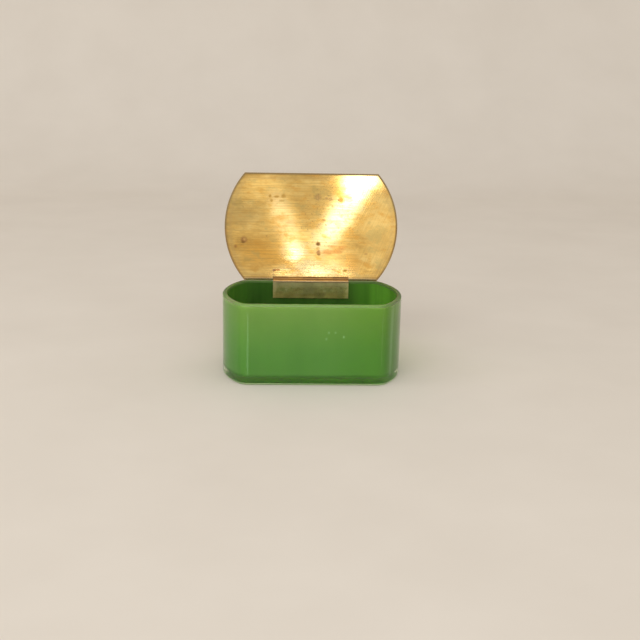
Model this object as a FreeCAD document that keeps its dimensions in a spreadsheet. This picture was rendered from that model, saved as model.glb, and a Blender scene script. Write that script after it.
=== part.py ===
import FreeCAD, Part
import math
import os

import Sketcher

Vector = FreeCAD.Vector
Rotation = FreeCAD.Rotation

# Driving dimensions in millimetres and degrees
DIMENSIONS = [
    ("glass_length", 150.0, "outer length of the glass box, over the curved ends"),
    ("glass_depth", 89.0, "outer depth of the glass box, front to back"),
    ("glass_height", 68.0, "height of the rim above the table"),
    ("end_bulge", 17.4, "how far each end bows out past the ends of the straight sides"),
    ("corner_radius", 12.0, "outer radius between a straight side and an end"),
    ("clear_wall", 3.6, "thickness of the clear layer in the wall"),
    ("clear_base", 5.5, "thickness of the clear layer under the floor"),
    ("lining_wall", 0.8, "thickness of the green layer in the wall"),
    ("lining_floor", 0.8, "thickness of the green layer on the floor"),
    ("lining_round", 3.6, "outer radius of the green layer where wall meets floor"),
    ("foot_round", 1.8, "radius of the glass edge on the table"),
    ("rim_round", 1.8, "radius of the outer edge of the rim"),
    ("lip_round", 0.3, "radius of the inner edge of the rim"),
    ("hinge_width", 66.0, "width of both hinge leaves"),
    ("hinge_sheet", 0.7, "thickness of the brass sheet of both leaves"),
    ("inner_drop", 15.5, "how far the box leaf reaches down inside the back wall"),
    ("outer_drop", 9.0, "how far the tabs of the box leaf reach down outside"),
    ("bend_round", 0.6, "outside radius of the bends in the box leaf"),
    ("cement_bed", 0.15, "thickness of the cement between leaf and glass"),
    ("notch_side", 0.4, "space beside the hinge in the rim and in the lid"),
    ("pin_diameter", 1.5, "diameter of the hinge pin"),
    ("pin_chamfer", 0.2, "chamfer on the ends of the pin"),
    ("pin_fit", 0.05, "radial clearance of the pin in the knuckles"),
    ("knuckle_gap", 0.3, "space between neighbouring knuckles"),
    ("running_gap", 0.3, "space around the turning knuckles"),
    ("roll_seam", 0.15, "slit where the rolled sheet comes back to its leaf"),
    ("leaf_reach", 8.5, "reach of the lid leaf from the hinge axis"),
    ("solder_film", 0.1, "thickness of the solder around the lid leaf"),
    ("heel_low", 1.3, "lower edge of the stop heel, below the axis with the lid open"),
    ("heel_high", 0.4, "upper edge of the stop heel, below the axis with the lid open"),
    ("stop_gap", 0.05, "space between the stop heel and its tab with the lid open"),
    ("lid_thickness", 2.4, "thickness of the brass lid"),
    ("lid_overhang", 0.7, "how far the lid passes the glass at the front and the ends"),
    ("lid_back_overhang", 4.0, "how far the lid passes the glass at the back"),
    ("lid_bevel", 1.6, "bevel around the inner face of the lid"),
    ("lid_edge_round", 0.4, "radius of the outer edge of the lid"),
    ("lid_gap", 0.1, "space between the closed lid and the rim"),
    ("open_angle", 99.0, "opening of the lid from closed, at rest on its stop"),
]

# Knuckles along the barrel, where the even ones belong to the box and the odd ones to the lid
KNUCKLES = 5
BOX_KNUCKLES = range(0, KNUCKLES, 2)
LID_KNUCKLES = range(1, KNUCKLES, 2)

# How far a cutting tool passes the faces that it cuts
PAST = 2.0

doc = FreeCAD.newDocument("glass_box")
sheet = doc.addObject("Spreadsheet::Sheet", "dims")
for row, (alias, number, note) in enumerate(DIMENSIONS, start=1):
    sheet.set(f"A{row}", note)
    sheet.set(f"B{row}", str(number))
    sheet.setAlias(f"B{row}", alias)
doc.recompute()

# Places that follow from the driving dimensions
END_RADIUS = "((dims.glass_depth^2 / 4 + dims.end_bulge^2) / (2 * dims.end_bulge))"
END_CENTRE = f"(dims.glass_length / 2 - {END_RADIUS})"
INNER_FACE = "(dims.glass_depth / 2 - dims.clear_wall - dims.lining_wall)"
NOTCH_FLOOR = "(dims.glass_height - dims.hinge_sheet - dims.cement_bed)"
NOTCH_HALF = "(dims.hinge_width / 2 + dims.notch_side)"
BORE_RADIUS = "(dims.pin_diameter / 2 + dims.pin_fit)"
KNUCKLE_RADIUS = f"({BORE_RADIUS} + dims.hinge_sheet)"
KNUCKLE_REACH = f"({KNUCKLE_RADIUS} + dims.running_gap)"
KNUCKLE_LENGTH = f"((dims.hinge_width - {KNUCKLES - 1} * dims.knuckle_gap) / {KNUCKLES})"
AXIS_Y = f"(dims.glass_depth / 2 + dims.hinge_sheet + {KNUCKLE_REACH})"
AXIS_Z = "(dims.glass_height + dims.lid_gap)"
REBATE_REACH = "(dims.leaf_reach + dims.solder_film)"
REBATE_HALF = "(dims.hinge_width / 2 + dims.solder_film)"
REBATE_DEPTH = "(dims.hinge_sheet + dims.solder_film)"
HEEL_FACE = f"({KNUCKLE_REACH} - dims.stop_gap)"

# Outline of the lid, measured forward from the hinge axis
LID_BACK = f"({AXIS_Y} - dims.glass_depth / 2 - dims.lid_back_overhang)"
LID_FRONT = f"({AXIS_Y} + dims.glass_depth / 2 + dims.lid_overhang)"
LID_MIDDLE = f"(({LID_BACK} + {LID_FRONT}) / 2)"
LID_HALF = f"(({LID_FRONT} - {LID_BACK}) / 2)"
LID_END_RADIUS = f"(({LID_HALF}^2 + dims.end_bulge^2) / (2 * dims.end_bulge))"
LID_END_CENTRE = f"(dims.glass_length / 2 + dims.lid_overhang - {LID_END_RADIUS})"


def value(expression):
    """The number that an expression on the dimensions comes to."""
    return float(sheet.evalExpression(expression))


def knuckle_start(index):
    """Where a knuckle begins along the barrel."""
    return f"(-dims.hinge_width / 2 + {index} * ({KNUCKLE_LENGTH} + dims.knuckle_gap))"


def new_body(name):
    """An empty body whose label names its file."""
    body = doc.addObject("PartDesign::Body", name)
    body.Label = name
    return body


def new_sketch(body, name, role, height="0"):
    """A sketch on one of its body's own planes, raised along that plane's normal."""
    sketch = body.newObject("Sketcher::SketchObject", name)
    plane = [feature for feature in body.Origin.OriginFeatures if feature.Role == role][0]
    sketch.AttachmentSupport = [(plane, "")]
    sketch.MapMode = "FlatFace"
    sketch.setExpression("AttachmentOffset.Base.z", height)
    return sketch


def measure(sketch, name, kind, where, expression):
    """A sketch constraint whose size follows an expression."""
    index = sketch.addConstraint(Sketcher.Constraint(kind, *where, value(expression)))
    sketch.renameConstraint(index, name)
    sketch.setExpression("Constraints." + name, expression)


def arc(centre, radius, first, last):
    """An arc in the sketch plane that turns left from its first angle to its last."""
    circle = Part.Circle(Vector(centre[0], centre[1], 0), Vector(0, 0, 1), radius)
    return Part.ArcOfCircle(circle, first, last)


def line(start, end):
    """A line in the sketch plane."""
    return Part.LineSegment(Vector(start[0], start[1], 0), Vector(end[0], end[1], 0))


def glass_outline(body, name, inset, height):
    """The box seen from above, moved inwards by an inset: straight sides, bowed ends, round corners."""
    sketch = new_sketch(body, name, "XY_Plane", height)
    half_expression = f"dims.glass_depth / 2 - ({inset})"
    end_expression = f"{END_RADIUS} - ({inset})"
    corner_expression = f"dims.corner_radius - ({inset})"
    half = value(half_expression)
    end_radius = value(end_expression)
    corner = value(corner_expression)
    end_x = value(END_CENTRE)
    corner_y = half - corner
    corner_x = end_x + math.sqrt((end_radius - corner) ** 2 - corner_y**2)
    turn = math.atan2(corner_y, corner_x - end_x)
    right = math.pi / 2
    edges = [
        line((-corner_x, -half), (corner_x, -half)),
        arc((corner_x, -corner_y), corner, -right, -turn),
        arc((end_x, 0), end_radius, -turn, turn),
        arc((corner_x, corner_y), corner, turn, right),
        line((corner_x, half), (-corner_x, half)),
        arc((-corner_x, corner_y), corner, right, 2 * right - turn),
        arc((-end_x, 0), end_radius, 2 * right - turn, 2 * right + turn),
        arc((-corner_x, -corner_y), corner, 2 * right + turn, 3 * right),
    ]
    front, corner_edge, right_end, back, left_end = 0, 1, 2, 4, 6
    sketch.addGeometry(edges, False)
    for index in range(len(edges)):
        following = (index + 1) % len(edges)
        sketch.addConstraint(Sketcher.Constraint("Tangent", index, 2, following, 1))
    sketch.addConstraint(Sketcher.Constraint("Horizontal", front))
    sketch.addConstraint(Sketcher.Constraint("Horizontal", back))
    for index in (3, 5, 7):
        sketch.addConstraint(Sketcher.Constraint("Equal", corner_edge, index))
    sketch.addConstraint(Sketcher.Constraint("Equal", right_end, left_end))
    sketch.addConstraint(Sketcher.Constraint("PointOnObject", right_end, 3, -1))
    sketch.addConstraint(Sketcher.Constraint("PointOnObject", left_end, 3, -1))
    measure(sketch, "corner_size", "Radius", (corner_edge,), corner_expression)
    measure(sketch, "end_size", "Radius", (right_end,), end_expression)
    measure(sketch, "right_centre", "DistanceX", (-1, 1, right_end, 3), END_CENTRE)
    measure(sketch, "left_centre", "DistanceX", (left_end, 3, -1, 1), END_CENTRE)
    measure(sketch, "front_side", "DistanceY", (front, 1, -1, 1), half_expression)
    measure(sketch, "back_side", "DistanceY", (-1, 1, back, 1), half_expression)
    return sketch


def lid_outline(body, name):
    """The closed lid seen from above, with its corners left sharp and the hinge axis at the origin."""
    sketch = new_sketch(body, name, "XY_Plane")
    back_y = -value(LID_BACK)
    front_y = -value(LID_FRONT)
    end_radius = value(LID_END_RADIUS)
    end_x = value(LID_END_CENTRE)
    end_y = -value(LID_MIDDLE)
    turn = math.asin((back_y - end_y) / end_radius)
    side_x = end_x + end_radius * math.cos(turn)
    edges = [
        line((-side_x, front_y), (side_x, front_y)),
        arc((end_x, end_y), end_radius, -turn, turn),
        line((side_x, back_y), (-side_x, back_y)),
        arc((-end_x, end_y), end_radius, math.pi - turn, math.pi + turn),
    ]
    front, right_end, back, left_end = range(4)
    sketch.addGeometry(edges, False)
    for index in range(len(edges)):
        following = (index + 1) % len(edges)
        sketch.addConstraint(Sketcher.Constraint("Coincident", index, 2, following, 1))
    sketch.addConstraint(Sketcher.Constraint("Horizontal", front))
    sketch.addConstraint(Sketcher.Constraint("Horizontal", back))
    sketch.addConstraint(Sketcher.Constraint("Equal", right_end, left_end))
    measure(sketch, "end_size", "Radius", (right_end,), LID_END_RADIUS)
    measure(sketch, "right_centre", "DistanceX", (-1, 1, right_end, 3), LID_END_CENTRE)
    measure(sketch, "left_centre", "DistanceX", (left_end, 3, -1, 1), LID_END_CENTRE)
    measure(sketch, "right_depth", "DistanceY", (right_end, 3, -1, 1), LID_MIDDLE)
    measure(sketch, "left_depth", "DistanceY", (left_end, 3, -1, 1), LID_MIDDLE)
    measure(sketch, "front_side", "DistanceY", (front, 1, -1, 1), LID_FRONT)
    measure(sketch, "back_side", "DistanceY", (front, 1, back, 1), f"2 * {LID_HALF}")
    return sketch


def square_outline(body, name, role, corners, height="0"):
    """A closed outline of level and upright lines, from its corners in order, the first line level."""
    sketch = new_sketch(body, name, role, height)
    points = [(value(across), value(along)) for across, along in corners]
    count = len(points)
    edges = [line(points[index], points[(index + 1) % count]) for index in range(count)]
    sketch.addGeometry(edges, False)
    for index in range(count):
        following = (index + 1) % count
        sketch.addConstraint(Sketcher.Constraint("Coincident", index, 2, following, 1))
    for index, (across, along) in enumerate(corners):
        if index % 2 == 0:
            sketch.addConstraint(Sketcher.Constraint("Horizontal", index))
            measure(sketch, f"level_{index}", "DistanceY", (-1, 1, index, 1), along)
        else:
            sketch.addConstraint(Sketcher.Constraint("Vertical", index))
            measure(sketch, f"upright_{index}", "DistanceX", (-1, 1, index, 1), across)
    return sketch


def rectangle(body, name, left, right, low, high, height="0"):
    """A rectangle seen from above."""
    corners = [(left, low), (right, low), (right, high), (left, high)]
    return square_outline(body, name, "XY_Plane", corners, height)


def pad(body, name, sketch, length, both_ways=False):
    """Material added along a sketch's normal."""
    feature = body.newObject("PartDesign::Pad", name)
    feature.Profile = sketch
    feature.setExpression("Length", length)
    feature.Midplane = both_ways
    return feature


def pocket(body, name, sketch, depth, upwards=False):
    """Material cut down from a sketch, or up from it."""
    feature = body.newObject("PartDesign::Pocket", name)
    feature.Profile = sketch
    feature.setExpression("Length", depth)
    feature.Reversed = upwards
    return feature


def edges_where(feature, test):
    """The names of a feature's edges whose bounds pass a test."""
    doc.recompute()
    named = enumerate(feature.Shape.Edges, start=1)
    return [f"Edge{index}" for index, edge in named if test(edge.BoundBox)]


def at_height(height):
    """A test for edges that lie at one height."""
    level = value(height)
    return lambda box: abs(box.ZMin - level) < 1e-4 and abs(box.ZMax - level) < 1e-4


def along_bend(across, height):
    """A test for edges that run along the hinge at one place in its section."""
    y, z = value(across), value(height)
    return lambda box: abs(box.YMin - y) + abs(box.YMax - y) + abs(box.ZMin - z) + abs(box.ZMax - z) < 1e-3


def rounded(body, name, feature, names, radius):
    """A fillet on named edges."""
    fillet = body.newObject("PartDesign::Fillet", name)
    fillet.Base = (feature, names)
    fillet.setExpression("Radius", radius)
    return fillet


def bevelled(body, name, feature, names, size):
    """A chamfer on named edges."""
    chamfer = body.newObject("PartDesign::Chamfer", name)
    chamfer.Base = (feature, names)
    chamfer.setExpression("Size", size)
    return chamfer


def place(feature, corner):
    """The place of a feature or part, each coordinate from an expression."""
    for axis, expression in zip("xyz", corner):
        feature.setExpression("Placement.Base." + axis, expression)


def block(body, kind, name, corner, size):
    """A block added to a body or cut from it, from its lowest corner."""
    feature = body.newObject(f"PartDesign::{kind}Box", name)
    place(feature, corner)
    for side, expression in zip(("Length", "Width", "Height"), size):
        feature.setExpression(side, expression)
    return feature


def rod(body, kind, name, start, radius, length):
    """A cylinder along the hinge axis added to a body or cut from it."""
    feature = body.newObject(f"PartDesign::{kind}Cylinder", name)
    feature.Placement = FreeCAD.Placement(Vector(), Rotation(Vector(0, 1, 0), 90))
    place(feature, start)
    feature.setExpression("Radius", radius)
    feature.setExpression("Height", length)
    return feature


def hang_on_hinge(part):
    """Places a part of the lid, drawn closed with the hinge axis at its origin, at the open stop."""
    part.Placement = FreeCAD.Placement(Vector(), Rotation(Vector(-1, 0, 0), value("dims.open_angle")))
    place(part, ("0", AXIS_Y, AXIS_Z))
    part.setExpression("Placement.Rotation.Angle", "dims.open_angle")


def cut_rim_notch(body):
    """The notch ground into the back rim that the box leaf is let into."""
    sketch = rectangle(
        body,
        body.Label + "_notch_sketch",
        f"-{NOTCH_HALF}",
        NOTCH_HALF,
        f"{INNER_FACE} - {PAST}",
        f"dims.glass_depth / 2 + {PAST}",
        "dims.glass_height",
    )
    return pocket(body, body.Label + "_notch", sketch, "dims.hinge_sheet + dims.cement_bed")


# Clear outer layer of the glass
clear = new_body("clear_glass_body")
clear_solid = pad(clear, "clear_solid", glass_outline(clear, "clear_plan", "0", "0"), "dims.glass_height")
foot_edges = edges_where(clear_solid, at_height("0"))
clear_foot = rounded(clear, "clear_foot", clear_solid, foot_edges, "dims.foot_round")
clear_rim = rounded(
    clear,
    "clear_rim",
    clear_foot,
    edges_where(clear_foot, at_height("dims.glass_height")),
    "dims.rim_round",
)
clear_hollow = pocket(
    clear,
    "clear_hollow",
    glass_outline(clear, "clear_hollow_plan", "dims.clear_wall", "dims.glass_height"),
    "dims.glass_height - dims.clear_base",
)
clear_floor = rounded(
    clear,
    "clear_floor",
    clear_hollow,
    edges_where(clear_hollow, at_height("dims.clear_base")),
    "dims.lining_round",
)
clear_notch = cut_rim_notch(clear)

# Green layer on the inside of the clear glass
lining = new_body("green_glass_lining")
lining_solid = pad(
    lining,
    "lining_solid",
    glass_outline(lining, "lining_plan", "dims.clear_wall", "dims.clear_base"),
    "dims.glass_height - dims.clear_base",
)
lining_hollow = pocket(
    lining,
    "lining_hollow",
    glass_outline(lining, "lining_hollow_plan", "dims.clear_wall + dims.lining_wall", "dims.glass_height"),
    "dims.glass_height - dims.clear_base - dims.lining_floor",
)
lining_floor = rounded(
    lining,
    "lining_floor_edge",
    lining_hollow,
    edges_where(lining_hollow, at_height("dims.clear_base + dims.lining_floor")),
    "dims.lining_round - dims.lining_wall",
)
lining_foot = rounded(
    lining,
    "lining_foot",
    lining_floor,
    edges_where(lining_floor, at_height("dims.clear_base")),
    "dims.lining_round",
)


def on_inner_rim(box):
    """True for edges of the green layer's inner outline at the rim."""
    at_rim = at_height("dims.glass_height")(box)
    inside_y = max(abs(box.YMin), abs(box.YMax)) < value(INNER_FACE) + 1e-3
    inside_x = max(abs(box.XMin), abs(box.XMax)) < value("dims.glass_length / 2 - dims.clear_wall") - 1e-3
    return at_rim and inside_y and inside_x


lip_edges = edges_where(lining_foot, on_inner_rim)
lining_lip = rounded(lining, "lining_lip", lining_foot, lip_edges, "dims.lip_round")
lining_notch = cut_rim_notch(lining)

# Section of the box leaf: inside the wall, over the rim and down outside
LEAF_BACK = f"({INNER_FACE} - dims.cement_bed)"
LEAF_FRONT = f"({LEAF_BACK} - dims.hinge_sheet)"
LEAF_UNDER = "(dims.glass_height - dims.hinge_sheet)"
INNER_END = "(dims.glass_height - dims.inner_drop)"
OUTER_END = "(dims.glass_height - dims.outer_drop)"
OUTER_FACE = "(dims.glass_depth / 2)"
TAB_FACE = "(dims.glass_depth / 2 + dims.hinge_sheet)"

# Cement between the box leaf and the glass
cement = new_body("hinge_cement")
cement_section = square_outline(
    cement,
    "cement_section",
    "YZ_Plane",
    [
        (LEAF_BACK, INNER_END),
        (INNER_FACE, INNER_END),
        (INNER_FACE, NOTCH_FLOOR),
        (OUTER_FACE, NOTCH_FLOOR),
        (OUTER_FACE, LEAF_UNDER),
        (LEAF_BACK, LEAF_UNDER),
    ],
)
pad(cement, "cement_strip", cement_section, "dims.hinge_width", both_ways=True)

# Brass leaf on the box, one sheet with three rolled knuckles and two tabs folded down outside
box_leaf = new_body("box_hinge_leaf")
box_section = square_outline(
    box_leaf,
    "box_leaf_section",
    "YZ_Plane",
    [
        (LEAF_FRONT, INNER_END),
        (LEAF_BACK, INNER_END),
        (LEAF_BACK, LEAF_UNDER),
        (OUTER_FACE, LEAF_UNDER),
        (OUTER_FACE, OUTER_END),
        (TAB_FACE, OUTER_END),
        (TAB_FACE, "dims.glass_height"),
        (LEAF_FRONT, "dims.glass_height"),
    ],
)
box_strip = pad(box_leaf, "box_leaf_strip", box_section, "dims.hinge_width", both_ways=True)
inner_bend = edges_where(box_strip, along_bend(LEAF_FRONT, "dims.glass_height"))
outer_bend = edges_where(box_strip, along_bend(TAB_FACE, "dims.glass_height"))
rounded(box_leaf, "box_leaf_bends", box_strip, inner_bend + outer_bend, "dims.bend_round")
for index in BOX_KNUCKLES:
    start = knuckle_start(index)
    block(
        box_leaf,
        "Subtractive",
        f"box_tab_cut_{index}",
        (f"{start} - dims.knuckle_gap", OUTER_FACE, f"{OUTER_END} - {PAST}"),
        (
            f"{KNUCKLE_LENGTH} + 2 * dims.knuckle_gap",
            f"dims.hinge_sheet + {PAST}",
            f"dims.outer_drop + 2 * {PAST}",
        ),
    )
    block(
        box_leaf,
        "Additive",
        f"box_tongue_{index}",
        (start, f"{OUTER_FACE} - dims.clear_wall / 2", LEAF_UNDER),
        (KNUCKLE_LENGTH, f"{AXIS_Y} - {OUTER_FACE} + dims.clear_wall / 2", "dims.hinge_sheet"),
    )
    end = (start, AXIS_Y, AXIS_Z)
    rod(box_leaf, "Additive", f"box_knuckle_{index}", end, KNUCKLE_RADIUS, KNUCKLE_LENGTH)
rod(
    box_leaf,
    "Subtractive",
    "box_leaf_bore",
    (f"-dims.hinge_width / 2 - {PAST}", AXIS_Y, AXIS_Z),
    BORE_RADIUS,
    f"dims.hinge_width + 2 * {PAST}",
)
block(
    box_leaf,
    "Subtractive",
    "box_leaf_seam",
    (f"-dims.hinge_width / 2 - {PAST}", f"{AXIS_Y} - {KNUCKLE_REACH}", "dims.glass_height"),
    (f"dims.hinge_width + 2 * {PAST}", KNUCKLE_REACH, "dims.roll_seam"),
)

# Hinge pin
pin = new_body("hinge_pin")
pin_start = ("-dims.hinge_width / 2", "0", "0")
pin_rod = rod(pin, "Additive", "pin_rod", pin_start, "dims.pin_diameter / 2", "dims.hinge_width")


def around_pin_end(box):
    """True for the round edges at the ends of the pin."""
    return box.XMax - box.XMin < 1e-4


bevelled(pin, "pin_ends", pin_rod, edges_where(pin_rod, around_pin_end), "dims.pin_chamfer")
place(pin, ("0", AXIS_Y, AXIS_Z))

# Brass leaf on the lid, drawn closed, with two rolled knuckles that carry the stop heels
lid_leaf = new_body("lid_hinge_leaf")
block(
    lid_leaf,
    "Additive",
    "lid_leaf_strip",
    ("-dims.hinge_width / 2", "-dims.leaf_reach", "0"),
    ("dims.hinge_width", f"dims.leaf_reach - {KNUCKLE_REACH}", "dims.hinge_sheet"),
)
for index in LID_KNUCKLES:
    start = knuckle_start(index)
    block(
        lid_leaf,
        "Additive",
        f"lid_tongue_{index}",
        (start, f"-({KNUCKLE_REACH} + dims.leaf_reach) / 2", "0"),
        (KNUCKLE_LENGTH, f"({KNUCKLE_REACH} + dims.leaf_reach) / 2", "dims.hinge_sheet"),
    )
    rod(lid_leaf, "Additive", f"lid_knuckle_{index}", (start, "0", "0"), KNUCKLE_RADIUS, KNUCKLE_LENGTH)
    heel = block(
        lid_leaf,
        "Additive",
        f"lid_heel_{index}",
        (
            start,
            f"-{HEEL_FACE} * cos(dims.open_angle) + dims.heel_low * sin(dims.open_angle)",
            f"-{HEEL_FACE} * sin(dims.open_angle) - dims.heel_low * cos(dims.open_angle)",
        ),
        (KNUCKLE_LENGTH, f"{HEEL_FACE} - dims.pin_diameter / 4", "dims.heel_low - dims.heel_high"),
    )
    place_now = heel.Placement.Base
    heel.Placement = FreeCAD.Placement(place_now, Rotation(Vector(1, 0, 0), value("dims.open_angle")))
    heel.setExpression("Placement.Rotation.Angle", "dims.open_angle")
rod(
    lid_leaf,
    "Subtractive",
    "lid_leaf_bore",
    (f"-dims.hinge_width / 2 - {PAST}", "0", "0"),
    BORE_RADIUS,
    f"dims.hinge_width + 2 * {PAST}",
)
block(
    lid_leaf,
    "Subtractive",
    "lid_leaf_seam",
    (f"-dims.hinge_width / 2 - {PAST}", f"-{KNUCKLE_REACH}", "-dims.roll_seam"),
    (f"dims.hinge_width + 2 * {PAST}", KNUCKLE_REACH, "dims.roll_seam"),
)
hang_on_hinge(lid_leaf)

# Solder between the lid leaf and its rebate in the lid
solder_bed = doc.addObject("Part::Box", "solder_bed")
place(solder_bed, (f"-{REBATE_HALF}", f"-{REBATE_REACH}", "0"))
solder_bed.setExpression("Length", f"2 * {REBATE_HALF}")
solder_bed.setExpression("Width", f"{REBATE_REACH} - {KNUCKLE_REACH}")
solder_bed.setExpression("Height", REBATE_DEPTH)
leaf_room = doc.addObject("Part::Box", "leaf_room")
place(leaf_room, ("-dims.hinge_width / 2", "-dims.leaf_reach", f"-{PAST}"))
leaf_room.setExpression("Length", "dims.hinge_width")
leaf_room.setExpression("Width", f"dims.leaf_reach + {PAST}")
leaf_room.setExpression("Height", f"dims.hinge_sheet + {PAST}")
solder = doc.addObject("Part::Cut", "lid_solder")
solder.Label = "lid_solder"
solder.Base = solder_bed
solder.Tool = leaf_room
hang_on_hinge(solder)

# Brass lid, drawn closed with its inner face at the height of the hinge axis
lid = new_body("lid_plate")
lid_solid = pad(lid, "lid_solid", lid_outline(lid, "lid_plan"), "dims.lid_thickness")
inner_edges = edges_where(lid_solid, at_height("0"))
lid_bevel = bevelled(lid, "lid_bevel_edge", lid_solid, inner_edges, "dims.lid_bevel")
rounded(
    lid,
    "lid_outer_edge",
    lid_bevel,
    edges_where(lid_bevel, at_height("dims.lid_thickness")),
    "dims.lid_edge_round",
)
barrel_room = rectangle(
    lid,
    "barrel_room_sketch",
    f"-{NOTCH_HALF}",
    NOTCH_HALF,
    f"-{KNUCKLE_REACH}",
    f"{PAST} - {LID_BACK}",
    f"-{PAST}",
)
pocket(lid, "barrel_room", barrel_room, f"{PAST} + {KNUCKLE_REACH}", upwards=True)
leaf_rebate = rectangle(
    lid,
    "leaf_rebate_sketch",
    f"-{REBATE_HALF}",
    REBATE_HALF,
    f"-{REBATE_REACH}",
    f"{PAST} - {LID_BACK}",
)
pocket(lid, "leaf_rebate", leaf_rebate, REBATE_DEPTH, upwards=True)
hang_on_hinge(lid)

doc.recompute()

PARTS = [clear, lining, cement, box_leaf, pin, lid_leaf, solder, lid]

for feature in doc.Objects:
    if "Invalid" in feature.State or "Error" in feature.State:
        raise RuntimeError(f"{feature.Name} did not compute")

os.makedirs("parts", exist_ok=True)
for part in PARTS:
    shape = part.Shape
    if shape.isNull() or not shape.isValid() or len(shape.Solids) != 1:
        raise RuntimeError(f"{part.Label} is not one valid solid")
    shape.exportStep(f"parts/{part.Label}.step")
    bounds = shape.optimalBoundingBox(False)
    low = f"{bounds.XMin:.2f} {bounds.YMin:.2f} {bounds.ZMin:.2f}"
    high = f"{bounds.XMax:.2f} {bounds.YMax:.2f} {bounds.ZMax:.2f}"
    print(f"{part.Label}: volume {shape.Volume:.1f}, from {low} to {high}")
print(f"hinge axis at y {value(AXIS_Y):.3f} z {value(AXIS_Z):.3f}")
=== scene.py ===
import math

import bpy
from mathutils import Matrix, Vector


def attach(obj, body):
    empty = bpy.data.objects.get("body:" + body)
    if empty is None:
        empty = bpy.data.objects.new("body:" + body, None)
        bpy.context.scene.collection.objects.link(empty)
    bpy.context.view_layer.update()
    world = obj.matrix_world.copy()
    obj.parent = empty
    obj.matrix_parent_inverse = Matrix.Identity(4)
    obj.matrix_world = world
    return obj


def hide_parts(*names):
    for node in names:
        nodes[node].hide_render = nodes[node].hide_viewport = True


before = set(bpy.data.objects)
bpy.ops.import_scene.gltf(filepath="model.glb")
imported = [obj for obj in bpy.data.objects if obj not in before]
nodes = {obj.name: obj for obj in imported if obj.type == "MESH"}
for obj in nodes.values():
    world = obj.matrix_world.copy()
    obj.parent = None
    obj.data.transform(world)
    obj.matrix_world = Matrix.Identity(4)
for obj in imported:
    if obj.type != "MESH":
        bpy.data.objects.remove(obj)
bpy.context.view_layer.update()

# Glass box, in metres, with the same sizes as the solids
HALF_LENGTH = 0.075
HALF_DEPTH = 0.0445
HEIGHT = 0.068
END_BULGE = 0.0174
CORNER_RADIUS = 0.012
CLEAR_WALL = 0.0036
CLEAR_BASE = 0.0055
LINING_WALL = 0.0008
CAVITY_ROUND = 0.0036
FOOT_ROUND = 0.0018
RIM_ROUND = (CLEAR_WALL + LINING_WALL) / 2  # the rim is one half round over both layers
FUSED = 0.00004  # how far the green layer is sunk into the clear one, so no air shows between them
LIP_SUNK = 0.00002  # how far the green layer's lip lies under the half round
LIP_OVERLAP = 1.5  # degrees of the half round that the lip reaches under the clear layer
NOTCH_HALF = 0.0334
NOTCH_FLOOR = 0.06715
NOTCH_MIDDLE = 0.0422  # how far back the middle of the notch lies
NOTCH_DEPTH = 0.0086
NOTCH_RISE = 0.004

# The outline: flat sides, a small corner, then one wide arc round each end
LAYER_TURN = math.degrees(math.acos((CLEAR_WALL - RIM_ROUND) / RIM_ROUND))
END_RADIUS = (HALF_DEPTH**2 + END_BULGE**2) / (2 * END_BULGE)
END_X = HALF_LENGTH - END_RADIUS
CORNER_Y = HALF_DEPTH - CORNER_RADIUS
CORNER_X = END_X + math.sqrt((END_RADIUS - CORNER_RADIUS) ** 2 - CORNER_Y**2)
END_TURN = math.atan2(CORNER_Y, CORNER_X - END_X)
CORNER_TURN = math.pi / 2 - END_TURN

# How finely the glass is modelled
FOOT_STEPS, RIM_STEPS, ROUND_STEPS = 7, 12, 8
CORNER_STEPS, END_STEPS = 14, 40
MERGE = 0.000002  # points closer than this become one
LEVEL = 0.00001  # an edge closer than this to a floor's height belongs to that floor
SMOOTH_ANGLE = math.radians(32)

# Lid, measured up from the hinge axis
AXIS = Vector((0, 0.047, 0.0681))
LEAN = math.radians(9)  # how far the open lid leans back past upright
LID_BACK = -0.0015
LID_FRONT = 0.0922
LID_MIDDLE = (LID_BACK + LID_FRONT) / 2
LID_HALF = (LID_FRONT - LID_BACK) / 2
LID_END_RADIUS = (LID_HALF**2 + END_BULGE**2) / (2 * END_BULGE)
LID_HALF_LENGTH = 0.0757
LID_END_X = LID_HALF_LENGTH - LID_END_RADIUS

# Glass
GLASS_IOR = 1.5
GREEN_SCATTER = (0.6, 1.0, 0.35)
CLEAR_SHARE = (0.93, 0.95, 0.92)  # the share of the lamps' light that each layer lets through
GREEN_SHARE = (0.45, 0.66, 0.26)
END_STARTS, END_FULL = 0.058, 0.068  # between these, along the box, the look of the ends comes in
# Faint scuffs on the front: along it, up it, half the length, half the height and strength
GLASS_SCUFFS = [
    (0.0128, 0.0443, 0.0012, 0.0013, 0.43),
    (0.0182, 0.0444, 0.0012, 0.0012, 0.42),
    (0.0250, 0.0408, 0.0011, 0.0015, 0.68),
    (0.0109, 0.0390, 0.0010, 0.0014, 0.40),
]

# Aged brass
DARK_BROWN = (0.200, 0.090, 0.018)
RED_BROWN = (0.360, 0.165, 0.058)
DULL_BROWN = (0.400, 0.240, 0.085)
GOLD_BROWN = (0.480, 0.260, 0.045)
RUST_BROWN = (0.620, 0.270, 0.065)
BARE_BRASS = (0.720, 0.420, 0.130)
SPECK_BROWN = (0.340, 0.190, 0.060)
# Painted shade on the hinge knuckles
KNUCKLE_SHADE_BROWN = (0.260, 0.120, 0.030)
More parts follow.
